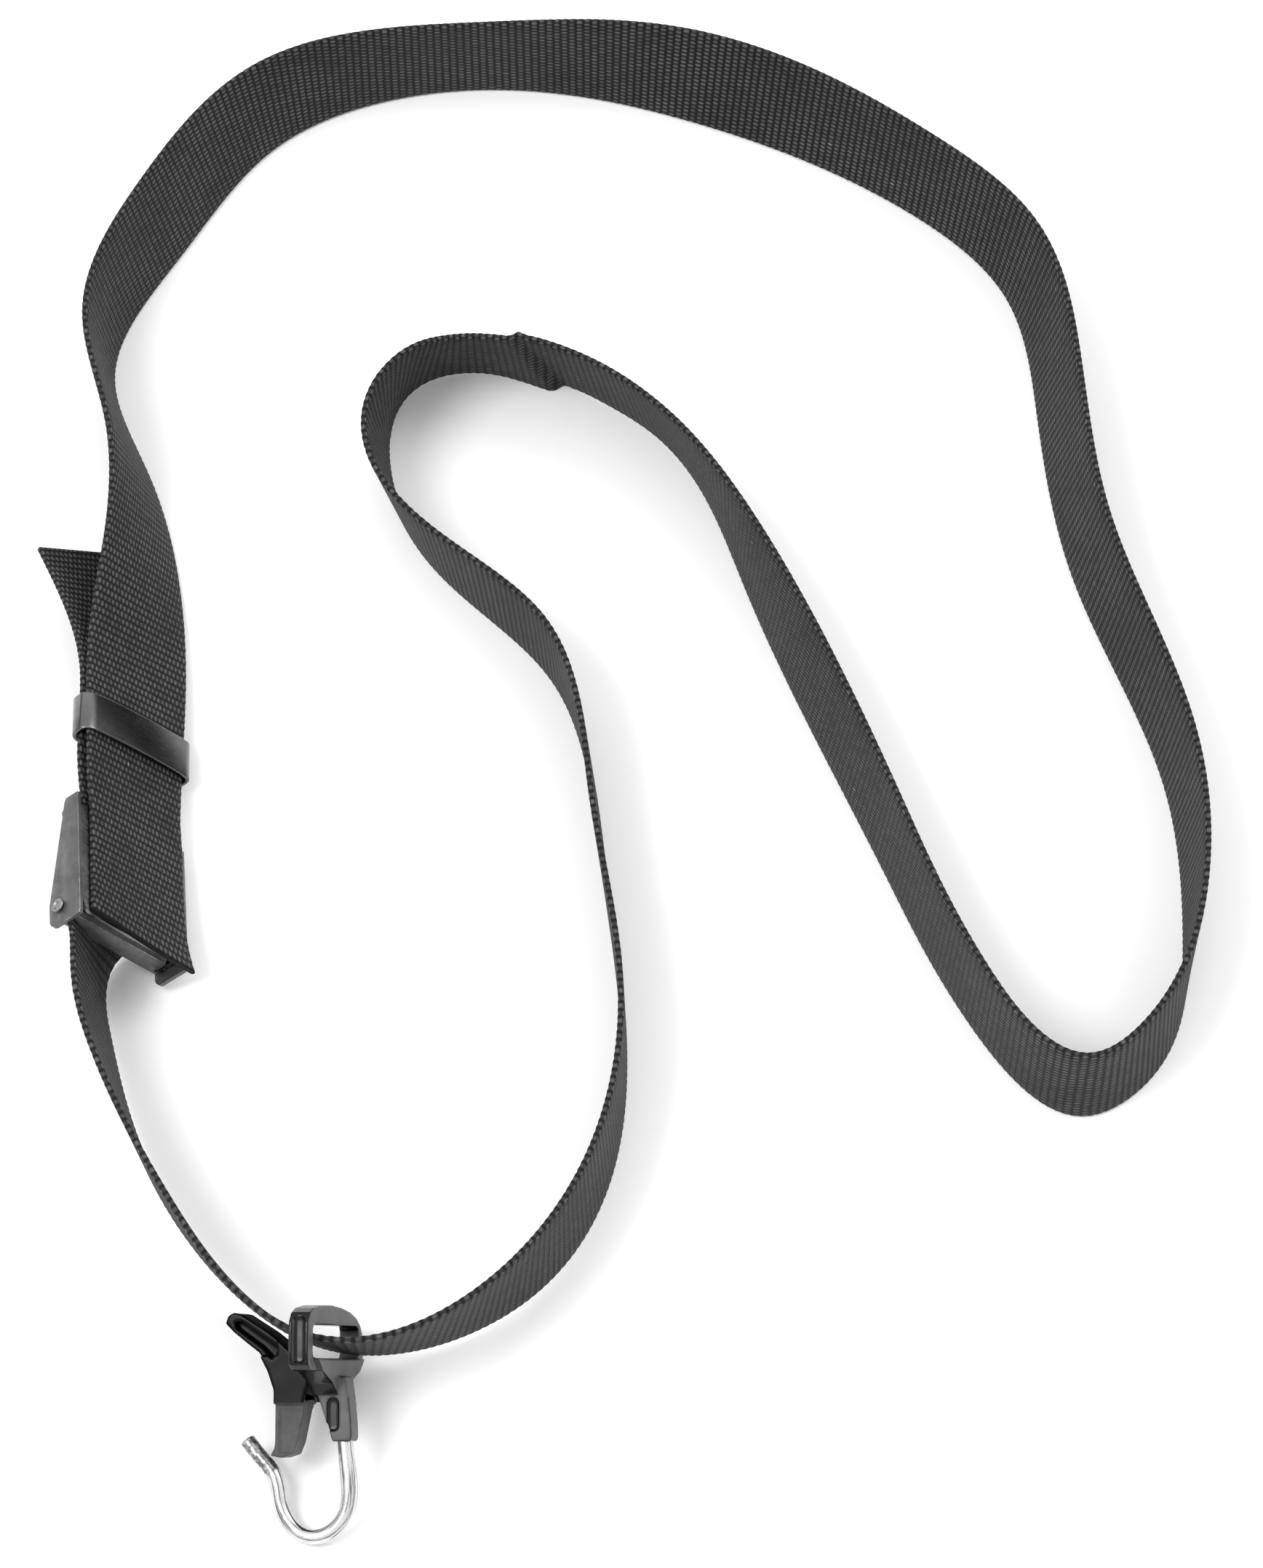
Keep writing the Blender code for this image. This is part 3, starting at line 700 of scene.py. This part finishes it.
def webbing_material():
    """Black ribbed webbing: staggered warp floats over ribs, with a rolled selvedge; its colour is
    painted lighter on the crests as highlight and darker in the hollows as shade.
    """
    mat, shader, nt = new_material("webbing_weave")
    n = Nodes(nt)
    uv = n.put("ShaderNodeUVMap", uv_map="weave").outputs[0]
    split = n.put("ShaderNodeSeparateXYZ")
    n.join(uv, split.inputs[0])
    run, side = split.outputs["X"], split.outputs["Y"]
    rib = n.math("DIVIDE", run, RIB)
    rib_id = n.math("FLOOR", rib)
    rib_at = n.math("FRACT", rib)
    shift = n.math("MULTIPLY", n.math("MODULO", rib_id, 2.0), 0.5)
    dash = n.math("ADD", n.math("DIVIDE", side, DASH), shift)
    dash_id = n.math("FLOOR", dash)
    dash_at = n.math("FRACT", dash)
    hump_rib = n.math("SINE", n.math("MULTIPLY", rib_at, math.pi))
    hump_dash = n.math("SINE", n.math("MULTIPLY", dash_at, math.pi))
    dice = n.put("ShaderNodeTexWhiteNoise", noise_dimensions="2D")
    n.join(n.vec(rib_id, dash_id), dice.inputs["Vector"])
    pick = dice.outputs["Value"]
    lift = n.ramp(pick, 0.0, 1.0, 0.7, 1.2, smooth=False)
    # rib tops lighter, the grooves between ribs darker: painted highlight and painted shade
    band = n.ramp(hump_rib, 0.3, 0.85)
    crest = n.math("MULTIPLY", n.math("POWER", hump_rib, 0.9), n.math("POWER", hump_dash, 2.6))
    float_up = n.math("MULTIPLY", crest, lift)
    # fine yarns across the ribs, and the plies twisted round each float
    yarn = n.math("SINE", n.math("MULTIPLY", side, 2 * math.pi / YARN))
    ply = n.math("SINE", n.math("ADD", n.math("MULTIPLY", side, 2 * math.pi / PLY),
                                n.math("MULTIPLY", run, 2 * math.pi / PLY_TURN)))
    fuzz = n.noise(n.vec(run, side), 2600, 3, 0.6)
    broad = n.noise(n.vec(run, side), 60, 3, 0.55)
    # a rolled selvedge with one loop for each rib, each lit by a painted highlight
    edge = n.math("ABSOLUTE", side)
    hem = n.ramp(edge, *HEM)
    loops = n.math("MULTIPLY", hem, n.math("POWER", hump_rib, 2.0))
    # painted light: rib and float crests lighter as painted highlight, the hollows between them
    # darker as painted shade
    weave_light_and_shade = n.math("MULTIPLY", band, n.math("MULTIPLY_ADD", yarn, 0.05, 0.13))
    weave_light_and_shade = n.math("ADD", weave_light_and_shade, n.math("MULTIPLY", n.ramp(float_up, 0.15, 0.95), 0.85))
    weave_light_and_shade = n.math("MULTIPLY", weave_light_and_shade, n.ramp(broad, 0.25, 0.75, 0.75, 1.2))
    weave_light_and_shade = n.math("ADD", weave_light_and_shade, n.math("MULTIPLY", loops, 0.15), clamp=True)
    colour = n.mix(weave_light_and_shade, (0.0022, 0.0022, 0.0024), (0.092, 0.092, 0.094))
    speck = n.math("GREATER_THAN", pick, 0.9985)
    colour = n.mix(n.math("MULTIPLY", speck, n.math("POWER", crest, 6.0)), colour, (0.3, 0.3, 0.3))
    n.join(colour, shader.inputs["Base Color"])
    n.join(n.ramp(fuzz, 0.2, 0.8, 0.55, 0.8), shader.inputs["Roughness"])
    shader.inputs["Specular IOR Level"].default_value = 0.2
    shader.inputs["Sheen Weight"].default_value = 0.03
    shader.inputs["Sheen Roughness"].default_value = 0.45
    height = n.math("ADD", float_up, n.math("MULTIPLY", ply, 0.08))
    height = n.math("ADD", height, n.math("MULTIPLY", fuzz, 0.25))
    height = n.math("ADD", height, n.math("MULTIPLY", loops, 0.4))
    n.join(n.bump(height, 0.0002, 0.8), shader.inputs["Normal"])
    return mat


def crease(run, side):
    """How far the diagonal fold in the inner loop moves the cloth: through, across."""
    past = run - CREASE_RUN - CREASE_SLANT * side
    low = np.clip(0.5 - side / WEB_W, 0, 1)
    step = np.tanh(past / CREASE_SHARP) * np.exp(-(past / CREASE_REACH) ** 2)
    pinch = np.exp(-(past / CREASE_PINCH) ** 2)
    through = CREASE_DEPTH * ((0.35 + 0.65 * low) * step - 0.6 * pinch)
    across = -CREASE_DEPTH * low ** 2 * np.exp(-((past - DIP_AT) / DIP_REACH) ** 2)
    return through, across


def fixed_end(run, side):
    """How the fixed end's shape moves the cloth: through, across, along."""
    share = side / (WEB_W / 2)
    flare = np.clip((FLARE_RUN - run) / FLARE_RUN, 0, 1) ** 2 * np.clip(-share, 0, 1) ** 2
    skew = np.clip((SKEW_RUN - run) / SKEW_RUN, 0, 1) * share
    shift = END_SHIFT * np.clip((END_SHIFT_FROM - run) / END_SHIFT_OVER, 0, 1)
    return (-FLARE_THROUGH * flare, -shift - FLARE_ACROSS * flare,
            SKEW * skew - FLARE_ALONG * flare)


def web_section():
    """Ring of (across, through) round the webbing, before the ribs' relief."""
    flat = np.linspace(-1, 1, 10) * (WEB_W / 2 - 0.4 * MM)
    half, edge, round_to = WEB_T / 2, WEB_W / 2 - 0.1 * MM, 0.3 * MM
    ring = [(w, half) for w in flat]
    ring += [(edge, round_to), (edge, -round_to)]
    ring += [(w, -half) for w in flat[::-1]]
    ring += [(-edge, -round_to), (-edge, round_to)]
    return np.array(ring)


def make_webbing():
    rows = len(RIB_ROWS)
    ribs = int(RUN[-1] / RIB)
    count = ribs * rows + 1
    run = np.linspace(0, RUN[-1], count)
    phase = np.arange(count) % rows
    rib_id = np.arange(count) // rows
    centre, wide = web_at(run)
    along = unit(np.gradient(centre, axis=0))
    wide = unit(wide - along * (wide * along).sum(1)[:, None])
    face = np.cross(wide, along)
    ring = web_section()
    size = len(ring)
    side, depth = ring[:, 0][None, :], ring[:, 1][None, :]
    relief = np.array(RIB_ROWS)[phase] * MM
    proud = np.maximum(relief, 0) / relief.max() * RIB_SIDE * np.where(rib_id % 2, 1.0, 0.4)
    at_edge = np.abs(side) > WEB_W / 2 - 0.2 * MM
    across = side + np.sign(side) * at_edge * proud[:, None]
    through = depth + np.sign(depth) * relief[:, None]
    crease_through, crease_across = crease(run[:, None], side)
    end_through, end_across, end_along = fixed_end(run[:, None], side)
    across = across + crease_across + end_across
    through = through + crease_through + end_through
    verts = (centre[:, None, :] + wide[:, None, :] * across[:, :, None]
             + face[:, None, :] * through[:, :, None]
             + along[:, None, :] * end_along[:, :, None])
    mesh = bpy.data.meshes.new("webbing_cloth")
    mesh.from_pydata(verts.reshape(-1, 3).tolist(), [], ring_faces(count, size))
    layer = mesh.uv_layers.new(name="weave")
    index = np.zeros(len(mesh.loops), np.int32)
    mesh.loops.foreach_get("vertex_index", index)
    uv = np.stack([run[index // size], ring[index % size, 0]], 1)
    layer.data.foreach_set("uv", uv.astype(np.float32).ravel())
    mesh.shade_smooth()
    cloth = add(bpy.data.objects.new("webbing_cloth", mesh))
    face_out(cloth)
    dress(cloth, webbing_material())
    finish_piece(cloth, "strap", "webbing")


# ---- keeper -----------------------------------------------------------------

KEEPER_HALF = (13.9, 3.15)        # half span, half depth
KEEPER_ROUND = (2.0, 2.6)         # corner radius at the low end, at the high end
KEEPER_WALL = 0.85
KEEPER_LONG = 8.8
KEEPER_RIM = 0.3                  # radius of its edges
KEEPER_BOW, KEEPER_BOW_LOW = 0.7, 0.315     # swell of the front at the high side, the low side
KEEPER_PRESS = 0.15               # how far the front is pressed in between them
KEEPER_SEAM = 0.25


def keeper_outline():
    """Outside of the loop in (across, depth), open at a seam in the back wall."""
    span, deep = KEEPER_HALF
    low, high = KEEPER_ROUND
    line = [(KEEPER_SEAM / 2, deep)]
    line += [(w, deep) for w in np.linspace(1, span - high - 0.5, 14)]
    line += arc(span - high, deep - high, high, 90, 0, 14)
    line += arc(span - high, high - deep, high, 0, -90, 14)
    line += [(w, -deep) for w in np.linspace(span - high - 0.5, low - span + 0.5, 34)]
    line += arc(low - span, low - deep, low, -90, -180, 12)
    line += arc(low - span, deep - low, low, 180, 90, 12)
    line += [(w, deep) for w in np.linspace(low - span + 0.5, -1, 14)]
    line.append((-KEEPER_SEAM / 2, deep))
    line = np.array(line)
    front = np.clip(-line[:, 1] / deep, 0, 1)
    high_side = np.clip((line[:, 0] + 2) / 14, 0, 1) ** 2
    low_side = np.clip((-2 - line[:, 0]) / 10, 0, 1) ** 2
    line[:, 1] += front * (KEEPER_BOW * high_side + KEEPER_BOW_LOW * low_side - KEEPER_PRESS)
    return line * (1, -1)


def make_keeper():
    line = keeper_outline()
    along = unit(np.gradient(line, axis=0))
    inward = np.stack([-along[:, 1], along[:, 0]], 1)
    long, wall, rim = KEEPER_LONG / 2, KEEPER_WALL, KEEPER_RIM
    section = []
    corners = ((long - rim, wall - rim, 0), (rim - long, wall - rim, 90),
               (rim - long, rim, 180), (long - rim, rim, 270))
    for s, d, start in corners:
        for t in np.radians(np.linspace(start, start + 90, 5)):
            section.append((s + rim * math.cos(t), d + rim * math.sin(t)))
    verts = []
    for spot, way in zip(line, inward):
        for s, d in section:
            verts.append((*(spot + way * d), s))
    keeper = mesh_object("keeper_band", np.array(verts) * MM, ring_faces(len(line), len(section)))
    face_out(keeper)
    keeper.matrix_world = keeper_frame()
    dress(keeper, enamel_material())
    finish_piece(keeper, "keeper_loop", "keeper")


# ---- buckle -----------------------------------------------------------------

# (depth from the middle of the fixed layer, run along it); the lever's outlines
# are taken from the pivot
PIVOT = (5.9, -12.4)
PLATE_NEAR, PLATE_FAR = 0.72, 1.37
PLATE_HALF, PLATE_LOW, PLATE_HIGH, PLATE_ROUND = 13.45, -15.5, 10.0, 3.4
EAR_IN, EAR_R, EAR_FOOT = 12.75, 1.9, 6.0
HOLE_R = 1.08               # of every pin's hole
LEVER_IN, LEVER_OUT, LEVER_TOP = 13.65, 14.5, 24.9
LEVER_SIDE = (
    (-5.4, -3.2), (-5.2, -3.8), (-4.7, -4.0), (1.4, -4.0), (2.1, -3.7), (2.6, -3.2),
    (2.9, -2.4), (2.9, 1.5), (-1.1, 21.0), (-0.9, 21.9), (-1.4, 22.6),
    (-1.7, LEVER_TOP - 0.8), (-2.1, LEVER_TOP), (-5.4, LEVER_TOP),
)
LEVER_HOLLOW = (
    (-9, -9), (9, -9), (9, -0.8), (2.2, -0.8), (2.2, 1.4),
    (-2.55, LEVER_TOP - 1.2), (-2.6, LEVER_TOP + 9), (-9, LEVER_TOP + 9),
)
CAM_HALF = 12.3
CAM = (
    (2.5, -0.8), (2.3, 2.4), (0.6, 2.0), (-1.2, 1.8), (-2.1, 1.4), (-1.7, 0.9),
    (-2.2, 0.5), (-1.8, 0.05), (-2.2, -0.25), (-1.7, -0.7), (-1.4, -1.2),
    (-0.5, -1.6), (0.6, -1.6),
)


def rounded_box(a0, b0, a1, b1, radius):
    line = []
    corners = ((a1 - radius, b1 - radius), (a0 + radius, b1 - radius),
               (a0 + radius, b0 + radius), (a1 - radius, b0 + radius))
    for k, (a, b) in enumerate(corners):
        line += arc(a, b, radius, 90 * k, 90 * k + 90, 10)
    return line


def make_plate():
    side = [(PLATE_NEAR, PLATE_LOW), (PLATE_FAR, PLATE_LOW), (PLATE_FAR, PIVOT[1] - EAR_R)]
    side += arc(*PIVOT, EAR_R, -90, 70, 24)
    side += [(PLATE_FAR, PIVOT[1] + EAR_FOOT), (PLATE_FAR, PLATE_HIGH), (PLATE_NEAR, PLATE_HIGH)]
    plate = prism("buckle_base", side, (-PLATE_HALF, PLATE_HALF), "x", buckle_frame())
    far = FAR_OUT
    cut(plate, ((PLATE_FAR, -far), (far, -far), (far, far), (PLATE_FAR, far)),
        (-EAR_IN, EAR_IN), "x")
    cut(plate, circle(*PIVOT, HOLE_R), (-far, far), "x")
    cut(plate, rounded_box(-PLATE_HALF, PLATE_LOW, PLATE_HALF, far, PLATE_ROUND), (-far, far),
        "y", "INTERSECT")
    bevel(plate, 0.16, 30)
    smooth_by_angle(plate)
    dress(plate, steel_material("plate_steel", (0.34, 0.34, 0.345), 0.3))
    finish_piece(plate, "strap", "buckle_plate")


def make_lever():
    lever = prism("buckle_arm", LEVER_SIDE, (-LEVER_OUT, LEVER_OUT), "x", buckle_frame(*PIVOT))
    cut(lever, LEVER_HOLLOW, (-LEVER_IN, LEVER_IN), "x")
    cut(lever, CAM, (-CAM_HALF, CAM_HALF), "x", "UNION")
    cut(lever, circle(0, 0, HOLE_R), (-FAR_OUT, FAR_OUT), "x")
    dress(lever, satin_material(), rim_material())
    bevel(lever, 0.2, 28, slot=1)
    smooth_by_angle(lever)
    finish_piece(lever, "lever", "buckle_lever")


def lathe(name, profile, frame_at, sides):
    """A turned piece round the local x axis, from (x, radius) in mm."""
    verts = []
    for x, r in profile:
        for k in range(sides):
            t = 2 * math.pi * k / sides
            verts.append((x * MM, r * math.cos(t) * MM, r * math.sin(t) * MM))
    obj = mesh_object(name, verts, ring_faces(len(profile), sides))
    face_out(obj)
    obj.matrix_world = frame_at
    return obj


RIVET_END = ((14.85, 0.8), (14.86, 1.28), (14.95, 1.37), (15.1, 1.4), (15.25, 1.34),
             (15.31, 1.22), (15.3, 1.08), (15.2, 0.97), (15.05, 0.92), (15.0, 0.84),
             (15.02, 0.5), (15.06, 0.05))
RIVET_SLOT_AT, RIVET_SLOT_LONG, RIVET_SLOT_R = 15.25, 1.0, 0.2
RIVET_SLOT_TURN = 40


def make_buckle_pin():
    profile = [(-x, r) for x, r in reversed(RIVET_END)] + list(RIVET_END)
    pin = lathe("buckle_rivet", profile, buckle_frame(*PIVOT), 48)
    for side in (-1, 1):
        slot = bar_between((0, 0), (RIVET_SLOT_LONG, 0), RIVET_SLOT_R, pin.matrix_world.copy())
        slot.data.transform(Matrix.Translation((side * RIVET_SLOT_AT * MM, 0, 0))
                            @ Matrix.Rotation(math.radians(RIVET_SLOT_TURN), 4, "X")
                            @ Matrix.Rotation(math.radians(90), 4, "Z")
                            @ Matrix.Translation((-RIVET_SLOT_LONG / 2 * MM, 0, 0)))
        combine(pin, "DIFFERENCE", slot)
    smooth_by_angle(pin)
    dress(pin, steel_material("rivet_steel", (0.42, 0.42, 0.43), 0.28))
    finish_piece(pin, "strap", "buckle_pin")


# ---- hook -------------------------------------------------------------------

# the eye's ring, slot and web are (up the shank, along the slot), the rest is
# (across, up the shank), from the middle of the eye
EYE_RING = (
    (6.7, 2.0), (6.6, 9.0), (6.1, 13.5), (5.2, 15.8), (3.6, 17.0), (2.0, 17.2),
    (-2.4, 17.2), (-4.2, 16.8), (-5.2, 15.4), (-5.4, 13.0), (-5.4, -11.0),
    (-5.0, -14.2), (-3.9, -16.4), (-2.2, -17.2), (-0.4, -17.2), (1.6, -16.6),
    (3.3, -15.2), (4.6, -12.8), (5.6, -9.0), (6.3, -4.0),
)
EYE_SLOT = (3.0, 14.0, 1.3)
EYE_DEPTH = 3.8
EYE_PANEL = (-1.1, -4.0, 1.1, 4.6, 1.05)
EYE_PANEL_FLOOR = 16.0
BODY_WEB = ((-3.0, 14.5), (-5.4, 11.5), (-7.5, 5.5), (-10.0, 2.0), (-11.0, 1.4))
BODY_WEB_OUT = 1.2
NECK_HALF = 2.5
NECK = (
    (-0.9, -7.0), (4.4, -6.2), (5.0, -10.0), (5.4, -14.0), (5.6, -17.2),
    (5.3, -18.1), (1.9, -18.1), (1.5, -16.8), (0.2, -13.0), (-0.9, -9.8),
)
POCKET = (0.9, -16.2, 3.2, -10.2, 1.0)
POCKET_FLOOR = 1.9
LUG_R = 2.1
LUG_FOOT = (0.5, -3.4, 3.0)
LUG_SPAN = (-3.1, 1.2)
WIRE_R = 1.4
WIRE_SWELL = 0.22
WIRE_SWELL_AT, WIRE_SWELL_OVER = -25, 5
WIRE_LONG = 0.0488          # metres, along its middle
TIP_SCUFF = (0.0085, 0.0075)    # metres from the tip
SOCKET_R = 1.52
HOOK_LINE = (
    (3.4, -13.5), (3.5, -15.5), (3.7, -18.0), (4.2, -22.5), (4.6, -27.0),
    (4.1, -30.5), (2.1, -33.6), (-1.0, -35.3), (-4.4, -35.0), (-7.2, -32.5),
    (-8.6, -29.2), (-9.1, -26.4), (-10.2, -23.6), (-12.6, -20.8), (-15.1, -17.8),
)

# the gate's outlines are taken from its pivot
GATE_PIVOT = (-4.7, -7.2)
GATE_HALF = 4.3
GATE_SIDE = (
    (-13.7, 10.6), (-13.2, 12.0), (-12.2, 12.6), (-10.6, 12.3), (-5.4, 9.1),
    (-2.2, 6.6), (0.6, 3.9), (2.4, 1.2), (2.5, -0.6), (2.0, -2.0), (1.3, -5.2),
    (0.1, -11.0), (-0.8, -13.2), (-3.0, -13.9), (-5.0, -13.5), (-4.3, -12.2),
    (-4.1, -10.8), (-4.1, -1.6), (-5.3, 1.8), (-7.1, 5.2), (-9.4, 6.9),
    (-12.1, 9.0),
)
FORK_HALF = 3.4
FORK_R = 2.6
FORK_BACK = ((20, 12), (20, -12), (1.0, -3.0), (-1.4, -2.8))
ARM_HALF = 3.1
ARM_AREA = ((-9, -4.2), (9, -4.2), (9, -19), (-9, -19))
ARM_PANEL = ((9, -5.0), (9, -13.0), (-3.3, -13.0), (-3.3, -5.0))
ARM_FLOOR = 2.75
TAB_PANEL = ((-11.8, 10.9), (-10.6, 11.0), (-3.4, 6.2), (-4.4, 4.0), (-6.6, 6.2), (-11.6, 9.7))
TAB_FLOOR = 1.6
GATE_SKIN = 0.35
TAB_HALF = 3.5
TAB_AREA = ((-3.4, 4.6), (-3.4, 20), (-30, 20), (-30, 4.6))
GATE_PIN_R = 0.8
GATE_PIN_HALF = 3.9
COIL_R, COIL_WIRE = 1.45, 0.2
COIL_FROM, COIL_LONG = 1.75, 1.3
COIL_TURNS, COIL_POINTS = 2.5, 120
PLASTIC_VOXEL = 0.17
HOOK_SOFT, GATE_SOFT = 22, 14       # rounds of smoothing


def bar_between(a, b, radius, frame_at):
    """A plain round bar between two (u, v) spots, as a tool for cutting."""
    points = [tuple(Vector((*a, 0)).lerp(Vector((*b, 0)), s)) for s in (0, 0.5, 1)]
    return tube("tool", points, radius, frame_at, CIRCLE_SIDES)


def make_hook_body():
    frame_at = hook_frame()
    flat, far = EYE_DEPTH / 2, FAR_OUT
    body = prism("hook_moulding", EYE_RING, (-flat, flat), "x", frame_at)
    web = list(BODY_WEB) + [(v, -z) for v, z in reversed(BODY_WEB)]
    cut(body, web, (-flat, flat + BODY_WEB_OUT), "x", "UNION")
    cut(body, NECK, (-NECK_HALF, NECK_HALF), "z", "UNION")
    u, v = GATE_PIVOT
    foot, below, above = LUG_FOOT
    lug = arc(u, v, LUG_R, 90, 270, 24) + [(foot, v + below), (foot, v + above)]
    cut(body, lug, LUG_SPAN, "z", "UNION")
    tall, long, corner = EYE_SLOT
    cut(body, rounded_box(-tall, -long, tall, long, corner), (-far, far), "x")
    down = (Vector(HOOK_LINE[2]) - Vector(HOOK_LINE[0])).normalized()
    end = Vector(HOOK_LINE[2]) + down * WIRE_R * 2
    combine(body, "DIFFERENCE", bar_between(HOOK_LINE[0], end, SOCKET_R, frame_at))
    cut(body, circle(u, v, HOLE_R), (-far, far), "z")
    cut(body, rounded_box(*POCKET), (POCKET_FLOOR, far), "z")
    panel = rounded_box(*EYE_PANEL)
    cut(body, panel, (EYE_PANEL_FLOOR, far), "z")
    cut(body, panel, (-far, -EYE_PANEL_FLOOR), "z")
    melt(body, PLASTIC_VOXEL, HOOK_SOFT)
    dress(body, plastic_material("hook_plastic", hook_polish_and_shade, 0.25))
    finish_piece(body, "hook", "hook_body")


def make_hook_wire():
    line = smooth_line(HOOK_LINE, 0.25)
    swell = np.exp(-((line[:, 1] - WIRE_SWELL_AT) / WIRE_SWELL_OVER) ** 2)
    radii = WIRE_R + WIRE_SWELL * swell * (line[:, 0] > 0)
    radii[0] = radii[-1] = WIRE_R - 0.2
    wire = tube("hook_bend", line, radii, hook_frame(), 36, uv=True)
    wire.data.materials.append(wire_material())
    wire.data.materials.append(cut_material())
    for face in wire.data.polygons[-2:]:
        face.material_index = 1
        face.use_smooth = False
    finish_piece(wire, "hook", "hook_wire")


def make_gate():
    far = FAR_OUT
    gate = prism("gate_moulding", GATE_SIDE, (-GATE_HALF, GATE_HALF), "z", hook_frame(*GATE_PIVOT))
    fork = arc(0, 0, FORK_R, 200, 90, 24) + list(FORK_BACK)
    cut(gate, fork, (-FORK_HALF, FORK_HALF), "z")
    for area, half in ((ARM_AREA, ARM_HALF), (TAB_AREA, TAB_HALF)):
        for span in ((-far, -half), (half, far)):
            cut(gate, area, span, "z")
    blind = GATE_HALF - GATE_SKIN
    cut(gate, circle(0, 0, HOLE_R), (-blind, blind), "z")
    for outline, floor in ((ARM_PANEL, ARM_FLOOR), (TAB_PANEL, TAB_FLOOR)):
        cut(gate, outline, (floor, far), "z")
        cut(gate, outline, (-far, -floor), "z")
    melt(gate, PLASTIC_VOXEL, GATE_SOFT)
    dress(gate, plastic_material("gate_plastic", gate_polish_and_shade, 0.07))
    finish_piece(gate, "gate", "gate_lever")


def make_gate_pin():
    half, r = GATE_PIN_HALF, GATE_PIN_R
    profile = ((-half, 0.02), (-half, r - 0.12), (0.1 - half, r), (half - 0.1, r),
               (half, r - 0.12), (half, 0.02))
    turn = Matrix.Rotation(math.radians(90), 4, "Y")
    pin = lathe("gate_axle", profile, hook_frame(*GATE_PIVOT) @ turn, 32)
    smooth_by_angle(pin)
    dress(pin, steel_material("axle_steel", (0.55, 0.55, 0.55), 0.25))
    finish_piece(pin, "hook", "gate_pin")


def make_gate_spring():
    coil = []
    for k in range(COIL_POINTS + 1):
        share = k / COIL_POINTS
        turn = 2 * math.pi * COIL_TURNS * share
        coil.append((COIL_R * math.cos(turn), COIL_R * math.sin(turn),
                     COIL_FROM + COIL_LONG * share))
    spring = tube("gate_coil", coil, COIL_WIRE, hook_frame(*GATE_PIVOT), 14)
    dress(spring, steel_material("coil_steel", (0.5, 0.5, 0.5), 0.25))
    finish_piece(spring, "hook", "gate_spring")


make_camera()
make_light()
make_floor()
make_webbing()
make_keeper()
make_plate()
make_lever()
make_buckle_pin()
make_hook_body()
make_hook_wire()
make_gate()
make_gate_pin()
make_gate_spring()

bpy.context.scene.view_settings.view_transform = "Standard"
